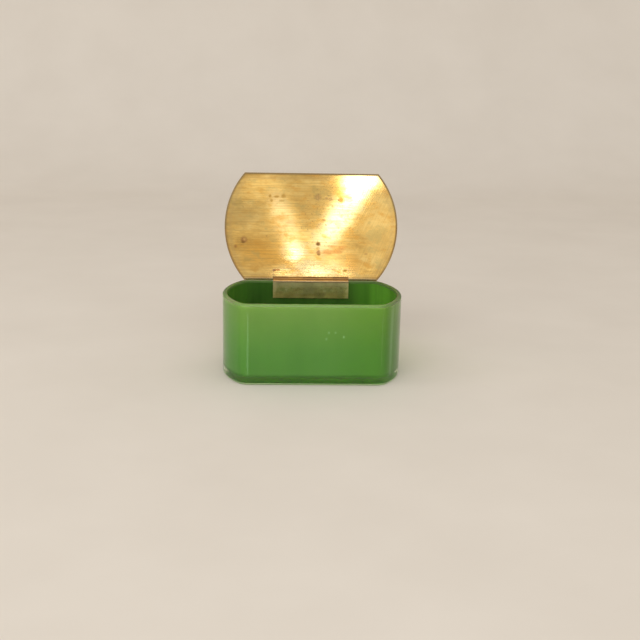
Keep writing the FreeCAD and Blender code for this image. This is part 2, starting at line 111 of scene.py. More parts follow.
# Old spots on the lid: along it, up it, size, depth, length over height and tint; later ones lie on top
LID_SPOTS = [
    (0.0056, 0.0712, 0.0042, 0.80, 0.9, DULL_BROWN),
    (0.0132, 0.0706, 0.0014, 0.75, 1.4, DULL_BROWN),
    (0.0166, 0.0698, 0.0018, 0.85, 1.2, DULL_BROWN),
    (0.0257, 0.0693, 0.0032, 0.95, 1.0, GOLD_BROWN),
    (0.0236, 0.0692, 0.0014, 0.70, 0.7, RED_BROWN),
    (-0.0587, 0.0336, 0.0036, 0.92, 1.0, RED_BROWN),
    (-0.0597, 0.0318, 0.0017, 0.60, 1.4, DARK_BROWN),
    (-0.0583, 0.0342, 0.0020, 0.70, 1.0, BARE_BRASS),
    (-0.0660, 0.0279, 0.0016, 0.65, 1.0, RED_BROWN),
    (0.0061, 0.0307, 0.0021, 0.97, 1.2, DARK_BROWN),
    (0.0066, 0.0237, 0.0029, 0.85, 0.85, RED_BROWN),
    (0.0060, 0.0268, 0.0018, 0.60, 1.3, GOLD_BROWN),
    (0.0068, 0.0216, 0.0012, 0.70, 1.6, DARK_BROWN),
    (0.0145, 0.0236, 0.0027, 0.75, 2.8, RUST_BROWN),
    (0.0225, 0.0242, 0.0029, 0.80, 2.0, RUST_BROWN),
    (0.0268, 0.0274, 0.0027, 0.65, 2.0, RUST_BROWN),
    (0.0190, 0.0284, 0.0018, 0.55, 2.2, RUST_BROWN),
    (-0.0363, 0.0722, 0.0015, 0.75, 0.9, GOLD_BROWN),
    (-0.0302, 0.0716, 0.0012, 0.75, 2.4, GOLD_BROWN),
    (-0.0247, 0.0721, 0.0024, 0.70, 1.1, GOLD_BROWN),
    (-0.0350, 0.0682, 0.0013, 0.70, 1.2, GOLD_BROWN),
    (-0.0260, 0.0680, 0.0011, 0.50, 2.6, GOLD_BROWN),
    (0.0111, 0.0517, 0.0014, 0.60, 1.0, RED_BROWN),
    (0.0129, 0.0474, 0.0010, 0.55, 1.0, RED_BROWN),
    (0.0188, 0.0631, 0.0016, 0.40, 1.2, RED_BROWN),
    (0.0321, 0.0555, 0.0010, 0.45, 1.0, RED_BROWN),
    (0.0366, 0.0442, 0.0010, 0.50, 1.0, RED_BROWN),
    (0.0484, 0.0224, 0.0012, 0.40, 2.0, RED_BROWN),
    (-0.0320, 0.0073, 0.0012, 0.95, 1.6, RED_BROWN),
    (-0.0288, 0.0076, 0.0011, 0.95, 2.6, RUST_BROWN),
    (0.0302, 0.0074, 0.0015, 0.95, 1.7, GOLD_BROWN),
]
# Wide stains on the lid: along it, up it, half the length, half the height, strength and tint
LID_ZONES = [
    (-0.062, 0.054, 0.022, 0.013, 0.42, (0.42, 0.25, 0.075)),
    (-0.042, 0.020, 0.030, 0.020, 0.65, (0.94, 0.46, 0.070)),
    (-0.004, 0.066, 0.030, 0.022, 0.40, (0.68, 0.43, 0.125)),
    (0.0345, 0.015, 0.013, 0.012, 0.55, (0.95, 0.47, 0.090)),
    (0.060, 0.044, 0.017, 0.046, 0.50, (0.86, 0.57, 0.185)),
    (-0.040, 0.083, 0.024, 0.009, 0.60, (1.00, 0.64, 0.185)),
    (-0.030, 0.047, 0.018, 0.016, 0.40, (1.00, 0.62, 0.180)),
]
# Pale patches on the lid, worn brass set under the highlights so that they whiten them, a painted
# highlight tint: along it, up it, half the length, half the height, slant and strength
LID_WEAR_AND_HIGHLIGHT_TINTS = [
    (0.0285, 0.060, 0.017, 0.046, 0.60, 0.70),
    (-0.0235, 0.050, 0.012, 0.032, -0.32, 0.35),
    (0.0430, 0.086, 0.020, 0.010, 0.0, 0.80),
    (-0.0155, 0.0235, 0.013, 0.011, 0.0, 0.75),
    (0.0020, 0.008, 0.040, 0.010, 0.0, 0.45),
]


def clear_selection():
    if bpy.context.mode != "OBJECT":
        bpy.ops.object.mode_set(mode="OBJECT")
    bpy.ops.object.select_all(action="DESELECT")


def edit(piece):
    clear_selection()
    piece.select_set(True)
    bpy.context.view_layer.objects.active = piece
    bpy.ops.object.mode_set(mode="EDIT")


def leave_edit():
    bpy.ops.object.mode_set(mode="OBJECT")


def arc(centre, radius, start, stop, steps):
    """Points on an arc of a section, with the angles in degrees."""
    points = []
    for step in range(steps + 1):
        angle = math.radians(start + (stop - start) * step / steps)
        points.append((centre[0] + radius * math.cos(angle), centre[1] + radius * math.sin(angle)))
    return points


def carry_section_round(name, section):
    """Carries one open wall section round the box's outline, closes it and fills its floors."""
    clear_selection()
    bpy.ops.mesh.primitive_circle_add(vertices=len(section), radius=0.01, fill_type="NOTHING")
    wall = bpy.context.object
    wall.name = wall.data.name = name
    last = len(section) - 1
    for vertex, (inset, height) in zip(wall.data.vertices, section):
        vertex.co = (0, inset - HALF_DEPTH, height)

    edit(wall)
    bpy.ops.mesh.select_mode(type="EDGE")
    bpy.ops.mesh.select_all(action="DESELECT")
    leave_edit()
    for edge in wall.data.edges:
        edge.select = set(edge.vertices) == {0, last}
    edit(wall)
    bpy.ops.mesh.delete(type="EDGE")
    bpy.ops.mesh.select_all(action="SELECT")

    def along_side(distance):
        bpy.ops.mesh.extrude_region_move(TRANSFORM_OT_translate={"value": (distance, 0, 0)})

    def round_arc(x, y, turn, steps):
        bpy.ops.mesh.spin(steps=steps, angle=-turn, center=(x, y, 0), axis=(0, 0, 1))

    along_side(CORNER_X)
    round_arc(CORNER_X, -CORNER_Y, CORNER_TURN, CORNER_STEPS)
    round_arc(END_X, 0, 2 * END_TURN, END_STEPS)
    round_arc(CORNER_X, CORNER_Y, CORNER_TURN, CORNER_STEPS)
    along_side(-2 * CORNER_X)
    round_arc(-CORNER_X, CORNER_Y, CORNER_TURN, CORNER_STEPS)
    round_arc(-END_X, 0, 2 * END_TURN, END_STEPS)
    round_arc(-CORNER_X, -CORNER_Y, CORNER_TURN, CORNER_STEPS)
    along_side(CORNER_X)
    bpy.ops.mesh.select_all(action="SELECT")
    bpy.ops.mesh.remove_doubles(threshold=MERGE)

    for height in (section[0][1], section[-1][1]):
        bpy.ops.mesh.select_all(action="DESELECT")
        bpy.ops.mesh.select_non_manifold()
        leave_edit()
        for edge in wall.data.edges:
            if edge.select:
                ends = [wall.data.vertices[i].co.z for i in edge.vertices]
                edge.select = all(abs(z - height) < LEVEL for z in ends)
        edit(wall)
        bpy.ops.mesh.edge_face_add()
    bpy.ops.mesh.select_all(action="SELECT")
    bpy.ops.mesh.normals_make_consistent(inside=False)
    leave_edit()
    return wall


def cut_rim_notch(wall):
    """Cuts the shallow notch that the hinge leaf passes through at the back of the rim."""
    clear_selection()
    bpy.ops.mesh.primitive_cube_add(
        size=1,
        location=(0, NOTCH_MIDDLE, NOTCH_FLOOR + NOTCH_RISE / 2),
        scale=(2 * NOTCH_HALF, NOTCH_DEPTH, NOTCH_RISE),
    )
    cutter = bpy.context.object
    clear_selection()
    wall.select_set(True)
    bpy.context.view_layer.objects.active = wall
    cut = wall.modifiers.new("rim_notch", "BOOLEAN")
    cut.operation = "DIFFERENCE"
    cut.solver = "EXACT"
    cut.object = cutter
    bpy.ops.object.modifier_apply(modifier=cut.name)
    bpy.data.objects.remove(cutter)


def smooth(piece):
    clear_selection()
    piece.select_set(True)
    bpy.context.view_layer.objects.active = piece
    bpy.ops.object.shade_smooth_by_angle(angle=SMOOTH_ANGLE)


def model_clear_glass():
    section = arc((FOOT_ROUND, FOOT_ROUND), FOOT_ROUND, 270, 180, FOOT_STEPS)
    section += arc((RIM_ROUND, HEIGHT - RIM_ROUND), RIM_ROUND, 180, LAYER_TURN, RIM_STEPS)
    centre = (CLEAR_WALL + CAVITY_ROUND, CLEAR_BASE + CAVITY_ROUND)
    section += arc(centre, CAVITY_ROUND, 180, 270, ROUND_STEPS)
    glass = carry_section_round("clear_glass_shell", section)
    cut_rim_notch(glass)
    smooth(glass)
    return glass


def model_green_lining():
    outside = CLEAR_WALL - FUSED
    inside = CLEAR_WALL + LINING_WALL
    low = CLEAR_BASE - FUSED
    centre = (outside + CAVITY_ROUND, low + CAVITY_ROUND)
    section = arc(centre, CAVITY_ROUND, 270, 180, ROUND_STEPS)
    centre = (RIM_ROUND, HEIGHT - RIM_ROUND)
    section += arc(centre, RIM_ROUND - LIP_SUNK, LAYER_TURN + LIP_OVERLAP, 0, ROUND_STEPS)
    inner_round = CAVITY_ROUND - LINING_WALL
    centre = (inside + inner_round, CLEAR_BASE + CAVITY_ROUND)
    section += arc(centre, inner_round, 180, 270, ROUND_STEPS)
    lining = carry_section_round("green_lining_shell", section)
    cut_rim_notch(lining)
    smooth(lining)
    return lining


def material(name):
    made = bpy.data.materials.new(name)
    made.use_nodes = True
    made.node_tree.nodes.clear()
    return made


def node(tree, kind, inputs=None, **settings):
    """Adds a shader node; an input is a plain value or another node's socket."""
    made = tree.nodes.new(kind)
    for key, value in settings.items():
        setattr(made, key, value)
    for key, value in (inputs or {}).items():
        if isinstance(value, bpy.types.NodeSocket):
            tree.links.new(value, made.inputs[key])
        else:
            made.inputs[key].default_value = value
    return made


def ramp(tree, factor, stops):
    made = node(tree, "ShaderNodeValToRGB", {"Fac": factor})
    elements = made.color_ramp.elements
    while len(elements) < len(stops):
        elements.new(0.5)
    for element, (place, colour) in zip(elements, stops):
        element.position = place
        element.color = (*colour, 1)
    return made.outputs["Color"]


def blend_colour(tree, factor, first, second, way="MIX"):
    made = node(tree, "ShaderNodeMix", {"Factor": factor}, data_type="RGBA", blend_type=way)
    colour_inputs = [s for s in made.inputs if s.type == "RGBA"]
    for socket, value in zip(colour_inputs, (first, second)):
        if isinstance(value, bpy.types.NodeSocket):
            tree.links.new(value, socket)
        else:
            socket.default_value = (*value, 1)
    return [s for s in made.outputs if s.type == "RGBA"][0]


def blend_value(tree, factor, first, second):
    made = node(tree, "ShaderNodeMix", {0: factor, 2: first, 3: second}, data_type="FLOAT")
    return made.outputs[0]


def maths(tree, operation, first, second=0.0, third=0.0):
    made = node(tree, "ShaderNodeMath", {0: first, 1: second, 2: third}, operation=operation)
    return made.outputs[0]


def times(tree, first, second):
    return maths(tree, "MULTIPLY", first, second)


def fade(tree, value, low, high, to_low=0.0, to_high=1.0):
    """Goes softly from to_low to to_high as the value goes from low to high."""
    made = node(
        tree,
        "ShaderNodeMapRange",
        {"Value": value, "From Min": low, "From Max": high, "To Min": to_low, "To Max": to_high},
        interpolation_type="SMOOTHSTEP",
    )
    return made.outputs["Result"]


def object_place(tree, stretch=(1, 1, 1)):
    coords = node(tree, "ShaderNodeTexCoord").outputs["Object"]
    return node(tree, "ShaderNodeMapping", {"Vector": coords, "Scale": stretch}).outputs[0]


def noise(tree, place, scale, detail=4.0, rough=0.55):
    inputs = {"Vector": place, "Scale": scale, "Detail": detail, "Roughness": rough}
    return node(tree, "ShaderNodeTexNoise", inputs).outputs["Fac"]


def around(tree, along, up, x, y, half_length, half_height, unrest):
    """How far out a point is from the middle of a mark at (x, y): 0 there and 1 at the mark's edge."""
    across = times(tree, maths(tree, "SUBTRACT", along, x), 1 / half_length)
    above = times(tree, maths(tree, "SUBTRACT", up, y), 1 / half_height)
    squares = maths(tree, "MULTIPLY_ADD", across, across, times(tree, above, above))
    return maths(tree, "ADD", maths(tree, "SQRT", squares), unrest)


def let_lamps_through(tree, shader, share):
    """Ends a glass finish so that it shades what is behind it only in part."""
    passed = node(tree, "ShaderNodeBsdfTransparent", {"Color": (*share, 1)})
    path = node(tree, "ShaderNodeLightPath")
    both = node(
        tree,
        "ShaderNodeMixShader",
        {0: path.outputs["Is Shadow Ray"], 1: shader.outputs[0], 2: passed.outputs[0]},
    )
    node(tree, "ShaderNodeOutputMaterial", {"Surface": both.outputs[0]})


def clear_glass_finish():
    made = material("clear_cased_glass")
    tree = made.node_tree
    place = object_place(tree)
    ripples = noise(tree, object_place(tree, (130, 130, 5)), 1.0, 2.0)
    parts = node(tree, "ShaderNodeSeparateXYZ", {0: place})
    depth, height = parts.outputs["Y"], parts.outputs["Z"]
    drawn = fade(tree, height, 0.0640, 0.0660, 0.05, 0.0)
    bumped = node(tree, "ShaderNodeBump", {"Height": ripples, "Strength": drawn, "Distance": 0.0012})
    handled = fade(tree, noise(tree, place, 60, 5.0), 0.5, 0.8, 0.008, 0.05)
    handled = maths(tree, "ADD", handled, fade(tree, height, 0.0658, 0.0668, 0.0, 0.50))

    # Painted green light at the foot, standing in for light that the green layer sends into the clear
    # base, and painted shade at the left end and on the rim wherever it isn't the near side
    at_end = fade(tree, maths(tree, "ABSOLUTE", parts.outputs["X"]), END_STARTS, END_FULL)
    above_foot = maths(tree, "MULTIPLY_ADD", at_end, -0.004, height)
    foot = fade(tree, above_foot, 0.0010, 0.0066, 1.0, 0.0)
    foot_painted_light = blend_colour(tree, at_end, (0.50, 0.74, 0.36), (0.32, 0.56, 0.17))
    # Painted shade: the glass is darker at its left end
    left_end_glass_shade = fade(tree, parts.outputs["X"], -0.0745, -0.0690, 1.0, 0.0)
    colour = blend_colour(tree, left_end_glass_shade, (0.97, 0.985, 0.955), (0.80, 0.80, 0.62))
    colour = blend_colour(tree, foot, colour, foot_painted_light)
    # Painted shade: the rim is darker wherever it isn't the near side, and darker still at the back
    rim = times(tree, fade(tree, height, 0.0654, 0.0664), fade(tree, depth, -0.042, -0.034))
    rim_shade_tint = blend_colour(tree, at_end, (0.60, 0.64, 0.48), (0.94, 0.86, 0.86))
    colour = blend_colour(tree, rim, colour, rim_shade_tint)
    behind = times(tree, rim, fade(tree, depth, 0.030, 0.038))
    colour = blend_colour(tree, behind, colour, (0.36, 0.46, 0.26))
    glass = node(
        tree,
        "ShaderNodeBsdfPrincipled",
        {
            "Base Color": colour,
            "Roughness": handled,
            "IOR": GLASS_IOR,
            "Transmission Weight": 1.0,
            "Normal": bumped.outputs[0],
        },
    )
    let_lamps_through(tree, glass, CLEAR_SHARE)
    return made


def green_finish(name, side):
    """The green layer: glossy inside, ground dull at the rim, seen through the clear glass elsewhere."""
    made = material(name)
    tree = made.node_tree
    place = object_place(tree)
    cloudy = noise(tree, place, 22, 3.0)
    drawn = noise(tree, object_place(tree, (140, 140, 6)), 1.0, 3.0)
    mixed = maths(tree, "ADD", times(tree, cloudy, 0.6), times(tree, drawn, 0.4))
    parts = node(tree, "ShaderNodeSeparateXYZ", {0: place})
    height = parts.outputs["Z"]
    along = parts.outputs["X"]
    if side == "inside":
        # Painted shade: the bare inside is a darker copy of the green on the outside
        colour = ramp(tree, mixed, [(0.38, (0.038, 0.104, 0.014)), (0.62, (0.062, 0.148, 0.022))])
        streaks = noise(tree, object_place(tree, (85, 85, 3)), 1.0, 2.0)
        lit = fade(tree, streaks, 0.3, 0.6, 0.45, 1.0)
        # Painted light: the inner right end is lighter, in streaks
        right_end = times(tree, fade(tree, along, 0.026, 0.062), lit)
        colour = blend_colour(tree, right_end, colour, (0.138, 0.365, 0.036))
        # Painted light: the inner left end is lighter too
        left_end_painted_shading = times(tree, fade(tree, along, -0.070, -0.050, 1.0, 0.0), lit)
        colour = blend_colour(tree, left_end_painted_shading, colour, (0.100, 0.270, 0.026))
        waves = noise(tree, place, 35, 2.0)
        bumped = node(tree, "ShaderNodeBump", {"Height": waves, "Strength": 0.06, "Distance": 0.003})
        worn = fade(tree, noise(tree, place, 70, 4.0), 0.4, 0.75, 0.05, 0.16)
        glass = node(
            tree,
            "ShaderNodeBsdfPrincipled",
            {
                "Base Color": colour,
                "Roughness": worn,
                "IOR": GLASS_IOR,
                "Subsurface Weight": 0.5,
                "Subsurface Radius": GREEN_SCATTER,
                "Subsurface Scale": 0.002,
                "Normal": bumped.outputs[0],
            },
        )
    else:
        # Painted reflection: the green outside is paler towards the top
        deep = ramp(tree, mixed, [(0.35, (0.112, 0.332, 0.045)), (0.65, (0.135, 0.366, 0.054))])
        pale = ramp(tree, mixed, [(0.35, (0.212, 0.398, 0.065)), (0.65, (0.247, 0.433, 0.081))])
        colour = blend_colour(tree, fade(tree, height, 0.018, 0.072), deep, pale)
        # Painted shade: the outside is darker and deeper in colour towards the right end
        right_side_shade = fade(tree, along, 0.004, 0.052)
        colour = blend_colour(tree, right_side_shade, colour, (0.80, 0.93, 0.48), "MULTIPLY")
        # Painted shade: the outside is darker at its left end
        left_end_painted_shading = fade(tree, along, -0.070, -0.048, 1.0, 0.0)
        colour = blend_colour(tree, left_end_painted_shading, colour, (0.80, 0.97, 0.60), "MULTIPLY")
        scuffed = 0.0
        ragged = maths(tree, "SUBTRACT", drawn, 0.5)
        for x, z, half_length, half_height, strength in GLASS_SCUFFS:
            out = around(tree, along, height, x, z, half_length, half_height, ragged)
            scuffed = maths(tree, "MAXIMUM", fade(tree, out, 0.3, 1.3, strength, 0.0), scuffed)
        scuffed = times(tree, scuffed, fade(tree, parts.outputs["Y"], -0.036, -0.030, 1.0, 0.0))
        colour = blend_colour(tree, scuffed, colour, (0.38, 0.65, 0.25))
        # Painted reflection: just under the rim the green turns paler, greyish brown at the ends
        to_end = fade(tree, maths(tree, "ABSOLUTE", along), END_STARTS, END_FULL)
        under_rim = blend_colour(tree, to_end, (0.30, 0.46, 0.13), (0.50, 0.40, 0.33))
        colour = blend_colour(tree, fade(tree, height, 0.0635, 0.0666, 0.0, 0.8), colour, under_rim)
        if side == "edge":
            colour = ramp(tree, mixed, [(0.35, (0.085, 0.150, 0.040)), (0.65, (0.110, 0.185, 0.055))])
        # Painted light: the faces over the base are a lighter copy of the green, standing in for light
        # that reaches them through the glass
        if side == "below":
            colour = ramp(tree, mixed, [(0.35, (0.35, 0.48, 0.21)), (0.65, (0.40, 0.54, 0.25))])
        glass = node(
            tree,
            "ShaderNodeBsdfPrincipled",
            {
                "Base Color": colour,
                "Roughness": 0.75,
                "Specular IOR Level": 0.0,
                "Subsurface Weight": 1.0 if side == "below" else 0.35,
                "Subsurface Radius": GREEN_SCATTER,
                "Subsurface Scale": 0.006 if side == "below" else 0.002,
            },
        )
    let_lamps_through(tree, glass, GREEN_SHARE)
    return made


def lid_place(tree):
    """Object coordinates turned into the lid's: along it, up it from the hinge, and off its inner face."""
    turn = Matrix.Rotation(LEAN - math.pi / 2, 3, "X")
    shift = -(turn @ AXIS)
    coords = node(tree, "ShaderNodeTexCoord")
    return node(
        tree,
        "ShaderNodeMapping",
        {"Vector": coords.outputs["Object"], "Location": shift, "Rotation": (LEAN - math.pi / 2, 0, 0)},
    ).outputs[0]


def inside_edge(tree, along, up):
    """Distance inwards from the lid's edge."""
    off_end = maths(tree, "SUBTRACT", maths(tree, "ABSOLUTE", along), LID_END_X)
    off_middle = maths(tree, "SUBTRACT", up, LID_MIDDLE)
    squares = maths(tree, "MULTIPLY_ADD", off_end, off_end, times(tree, off_middle, off_middle))
    from_end = maths(tree, "SUBTRACT", LID_END_RADIUS, maths(tree, "SQRT", squares))
    from_front = maths(tree, "SUBTRACT", LID_FRONT, up)
    from_back = maths(tree, "SUBTRACT", up, LID_BACK)
    return maths(tree, "MINIMUM", from_end, maths(tree, "MINIMUM", from_front, from_back))


def lid_brass_finish():
    made = material("brushed_lid_brass")
    tree = made.node_tree
    place = lid_place(tree)
    parts = node(tree, "ShaderNodeSeparateXYZ", {0: place})
    along, up, off_face = (parts.outputs[i] for i in range(3))

    def stretched(stretch, detail=3.0, turn=0.0, rough=0.55):
        angles = (0, 0, math.radians(turn))
        moved = node(tree, "ShaderNodeMapping", {"Vector": place, "Rotation": angles})
        moved = node(tree, "ShaderNodeMapping", {"Vector": moved.outputs[0], "Scale": stretch})
        return noise(tree, moved.outputs[0], 1.0, detail, rough)

    # Brushed along the lid, and at a slant towards the right end
    slanted = fade(tree, along, 0.034, 0.050)
    level = stretched((22, 760, 760), 4.0, 0.0, 0.7)
    slant = stretched((40, 900, 900), 3.0, -66, 0.6)
    brush = blend_value(tree, slanted, level, slant)
    hairlines = stretched((16, 2400, 2400), 2.0)
    clouds = stretched((20, 46, 46), 7.0, 0.0, 0.66)
    patches = stretched((48, 74, 74), 6.0, 8.0, 0.65)
    stains = stretched((110, 230, 230), 4.0, 0.0, 0.6)
    unrest = maths(tree, "SUBTRACT", patches, 0.5)
    inner = fade(tree, off_face, -0.0016, -0.0008)

    colour = ramp(
        tree,
        clouds,
        [(0.38, (0.60, 0.35, 0.088)), (0.49, (0.86, 0.53, 0.145)), (0.60, (1.00, 0.68, 0.225))],
    )
    # Painted highlight tint: the pale patches whiten the highlights that fall on them
    for x, y, half_length, half_height, slant_of, strength in LID_WEAR_AND_HIGHLIGHT_TINTS:
        moved = maths(tree, "MULTIPLY_ADD", maths(tree, "SUBTRACT", up, y), -slant_of, along)
        out = around(tree, moved, up, x, y, half_length, half_height, times(tree, unrest, 2.0))
        pale = times(tree, fade(tree, out, 0.3, 1.15, strength, 0.0), inner)
        colour = blend_colour(tree, pale, colour, (1.00, 0.85, 0.50))
    for x, y, half_length, half_height, strength, tint in LID_ZONES:
        out = around(tree, along, up, x, y, half_length, half_height, times(tree, unrest, 2.2))
        zone = times(tree, fade(tree, out, 0.2, 1.1, strength, 0.0), inner)
        colour = blend_colour(tree, zone, colour, tint)
    orange = fade(tree, patches, 0.51, 0.64, 0.0, 0.60)
    colour = blend_colour(tree, orange, colour, (0.74, 0.36, 0.060))
    olive = fade(tree, patches, 0.37, 0.48, 0.50, 0.0)
    colour = blend_colour(tree, olive, colour, (0.56, 0.42, 0.140))
    lines = fade(tree, brush, 0.40, 0.70, 0.0, 0.50)
    lines = times(tree, lines, fade(tree, slanted, 0, 1, 1.0, 0.6))
    colour = blend_colour(tree, lines, colour, (0.50, 0.30, 0.080))
    specks = fade(tree, stains, 0.66, 0.75, 0.0, 0.65)
    colour = blend_colour(tree, specks, colour, (0.33, 0.17, 0.05))
    peppered = fade(tree, stretched((430, 430, 430), 2.0), 0.60, 0.68, 0.0, 0.55)
    out = around(tree, along, up, 0.016, 0.052, 0.034, 0.038, unrest)
    peppered = times(tree, peppered, fade(tree, out, 0.4, 1.1, 1.0, 0.0))
    colour = blend_colour(tree, times(tree, peppered, inner), colour, SPECK_BROWN)

    # Old spots on the inner face, and the dark marks at the corners of the leaf
    ragged = times(tree, maths(tree, "SUBTRACT", stains, 0.5), 1.1)
    spotted = 0.0
    for x, y, size, depth, stretch, tint in LID_SPOTS:
        out = around(tree, along, up, x, y, size * stretch, size, ragged)
        spot = times(tree, fade(tree, out, 0.35, 1.15, depth, 0.0), inner)
        colour = blend_colour(tree, spot, colour, tint)
        spotted = maths(tree, "MAXIMUM", spot, spotted)

    # The ring where the glass rim touches the closed lid, the dull edge and the bevel; painted shade as a
    # dark line along the hinge line beside the hinge, below the hinge axis and on the knuckles; and a
    # painted reflection as a pale strip on the hinge line
    edge = inside_edge(tree, along, up)
    wander = maths(tree, "MULTIPLY_ADD", unrest, 0.004, edge)
    ring = times(tree, fade(tree, wander, 0.0022, 0.0034), fade(tree, wander, 0.0050, 0.0070, 1.0, 0.0))
    ring = times(tree, ring, times(tree, inner, 0.30))
    colour = blend_colour(tree, ring, colour, (0.62, 0.40, 0.15))
    dull = fade(tree, wander, 0.0016, 0.0030, 0.35, 0.0)
    colour = blend_colour(tree, dull, colour, (0.40, 0.25, 0.09))
    at_hinge = fade(tree, maths(tree, "ABSOLUTE", along), 0.0330, 0.0336, 1.0, 0.0)
    at_hinge = times(tree, at_hinge, inner)
    beside_hinge = maths(tree, "SUBTRACT", inner, at_hinge)
    # Painted shade: a dark line along the hinge line beside the hinge
    line = times(tree, fade(tree, up, 0.0004, 0.0010), fade(tree, up, 0.0014, 0.0022, 0.45, 0.0))
    colour = blend_colour(tree, times(tree, line, beside_hinge), colour, SPECK_BROWN)
    # Painted reflection: a pale strip on the hinge line beside the hinge
    pale_wear_and_reflection = times(tree, fade(tree, up, 0.0002, 0.0008, 0.65, 0.0), beside_hinge)
    colour = blend_colour(tree, pale_wear_and_reflection, colour, (0.66, 0.52, 0.36))
    bevel = fade(tree, off_face, -0.00035, -0.00005, 1.0, 0.0)
    colour = blend_colour(tree, times(tree, bevel, 0.75), colour, (0.36, 0.25, 0.12))
    # Painted shade: below the hinge axis, where the lid drops behind the rim
    under = times(tree, fade(tree, up, -0.0012, -0.0006, 0.75, 0.0), inner)
    colour = blend_colour(tree, under, colour, (0.14, 0.09, 0.045))
    # Painted shade on the lid's knuckles
    knuckle_shade = fade(tree, up, 0.0012, 0.0024, 1.0, 0.0)
    knuckle_shade = times(tree, knuckle_shade, at_hinge)
    colour = blend_colour(tree, times(tree, knuckle_shade, 0.85), colour, KNUCKLE_SHADE_BROWN)

    rough = fade(tree, clouds, 0.32, 0.66, 0.09, 0.045)
    rough = maths(tree, "MULTIPLY_ADD", lines, 0.05, rough)
    rough = maths(tree, "MULTIPLY_ADD", orange, 0.05, rough)
    rough = maths(tree, "MULTIPLY_ADD", spotted, 0.10, rough)
    rough = maths(tree, "MULTIPLY_ADD", bevel, 0.12, rough)
    rough = maths(tree, "MULTIPLY_ADD", knuckle_shade, 0.22, rough)
    lift = maths(tree, "MULTIPLY_ADD", hairlines, 0.2, times(tree, brush, 0.8))
    bumped = node(tree, "ShaderNodeBump", {"Height": lift, "Strength": 0.08, "Distance": 0.0003})
    metal = node(
        tree,
        "ShaderNodeBsdfPrincipled",
        {"Base Color": colour, "Metallic": 1.0, "Roughness": rough, "Normal": bumped.outputs[0]},
    )
    node(tree, "ShaderNodeOutputMaterial", {"Surface": metal.outputs[0]})
    return made


def hinge_brass_finish():
    made = material("tarnished_hinge_brass")
    tree = made.node_tree
    place = object_place(tree)
    parts = node(tree, "ShaderNodeSeparateXYZ", {0: place})
    height = parts.outputs["Z"]
    clouds = noise(tree, place, 95, 6.0, 0.65)
    brush = noise(tree, object_place(tree, (25, 900, 900)), 1.0, 2.0)
    blotches = noise(tree, object_place(tree, (170, 260, 260)), 1.0, 5.0, 0.7)
    colour = ramp(
        tree,
        clouds,
        [(0.34, (0.44, 0.45, 0.14)), (0.48, (0.76, 0.67, 0.24)), (0.62, (1.00, 0.86, 0.38))],
    )
    colour = blend_colour(tree, fade(tree, brush, 0.4, 0.7, 0.0, 0.35), colour, (0.34, 0.26, 0.11))
    browned = fade(tree, blotches, 0.50, 0.66, 0.0, 0.55)
    colour = blend_colour(tree, browned, colour, (0.46, 0.33, 0.080))
    pale_wear_and_reflection = fade(tree, blotches, 0.34, 0.46, 0.45, 0.0)
    colour = blend_colour(tree, pale_wear_and_reflection, colour, (0.94, 0.88, 0.44))

    # The leaf inside the box is browner towards its foot and paler towards its bend and its sides
    lower = fade(tree, height, 0.0540, 0.0600, 0.40, 0.0)
    colour = blend_colour(tree, lower, colour, (0.80, 0.58, 0.125))
    upper = fade(tree, height, 0.0605, 0.0655, 0.0, 0.55)
    colour = blend_colour(tree, upper, colour, (1.00, 0.86, 0.46))
    uneven = times(tree, maths(tree, "SUBTRACT", clouds, 0.5), 0.018)
    to_side = maths(tree, "ADD", maths(tree, "ABSOLUTE", parts.outputs["X"]), uneven)
    to_foot = maths(tree, "ADD", height, uneven)
    bright_side = fade(tree, to_side, 0.0285, 0.0330, 0.0, 0.5)
    bright_foot = fade(tree, to_foot, 0.0525, 0.0562, 0.12, 0.0)
    bright_edge = maths(tree, "MAXIMUM", bright_side, bright_foot)
    colour = blend_colour(tree, bright_edge, colour, (1.00, 0.80, 0.38))
    bend = times(tree, fade(tree, height, 0.0662, 0.0668), 0.85)
    colour = blend_colour(tree, bend, colour, (0.44, 0.29, 0.16))
    # Painted shade on the leaf's knuckles
    knuckle_shade = times(tree, fade(tree, parts.outputs["Y"], 0.0440, 0.0452), 0.85)
    colour = blend_colour(tree, knuckle_shade, colour, KNUCKLE_SHADE_BROWN)

    rough = fade(tree, clouds, 0.3, 0.7, 0.46, 0.32)
    rough = maths(tree, "MULTIPLY_ADD", bright_edge, 0.16, rough)
    bumped = node(tree, "ShaderNodeBump", {"Height": brush, "Strength": 0.1, "Distance": 0.0002})
    metal = node(
        tree,
        "ShaderNodeBsdfPrincipled",
        {"Base Color": colour, "Metallic": 1.0, "Roughness": rough, "Normal": bumped.outputs[0]},
    )
    node(tree, "ShaderNodeOutputMaterial", {"Surface": metal.outputs[0]})
    return made


def dull_finish(name, dark, light, metal, rough):
    made = material(name)
    tree = made.node_tree
    grain = noise(tree, object_place(tree), 420, 5.0, 0.65)
    colour = ramp(tree, grain, [(0.35, dark), (0.65, light)])
    bumped = node(tree, "ShaderNodeBump", {"Height": grain, "Strength": 0.4, "Distance": 0.0003})
    surface = node(
        tree,
        "ShaderNodeBsdfPrincipled",
        {"Base Color": colour, "Metallic": metal, "Roughness": rough, "Normal": bumped.outputs[0]},
    )
    node(tree, "ShaderNodeOutputMaterial", {"Surface": surface.outputs[0]})
    return made


def paint(piece, *finishes):
    piece.data.materials.clear()
    for finish in finishes:
        piece.data.materials.append(finish)


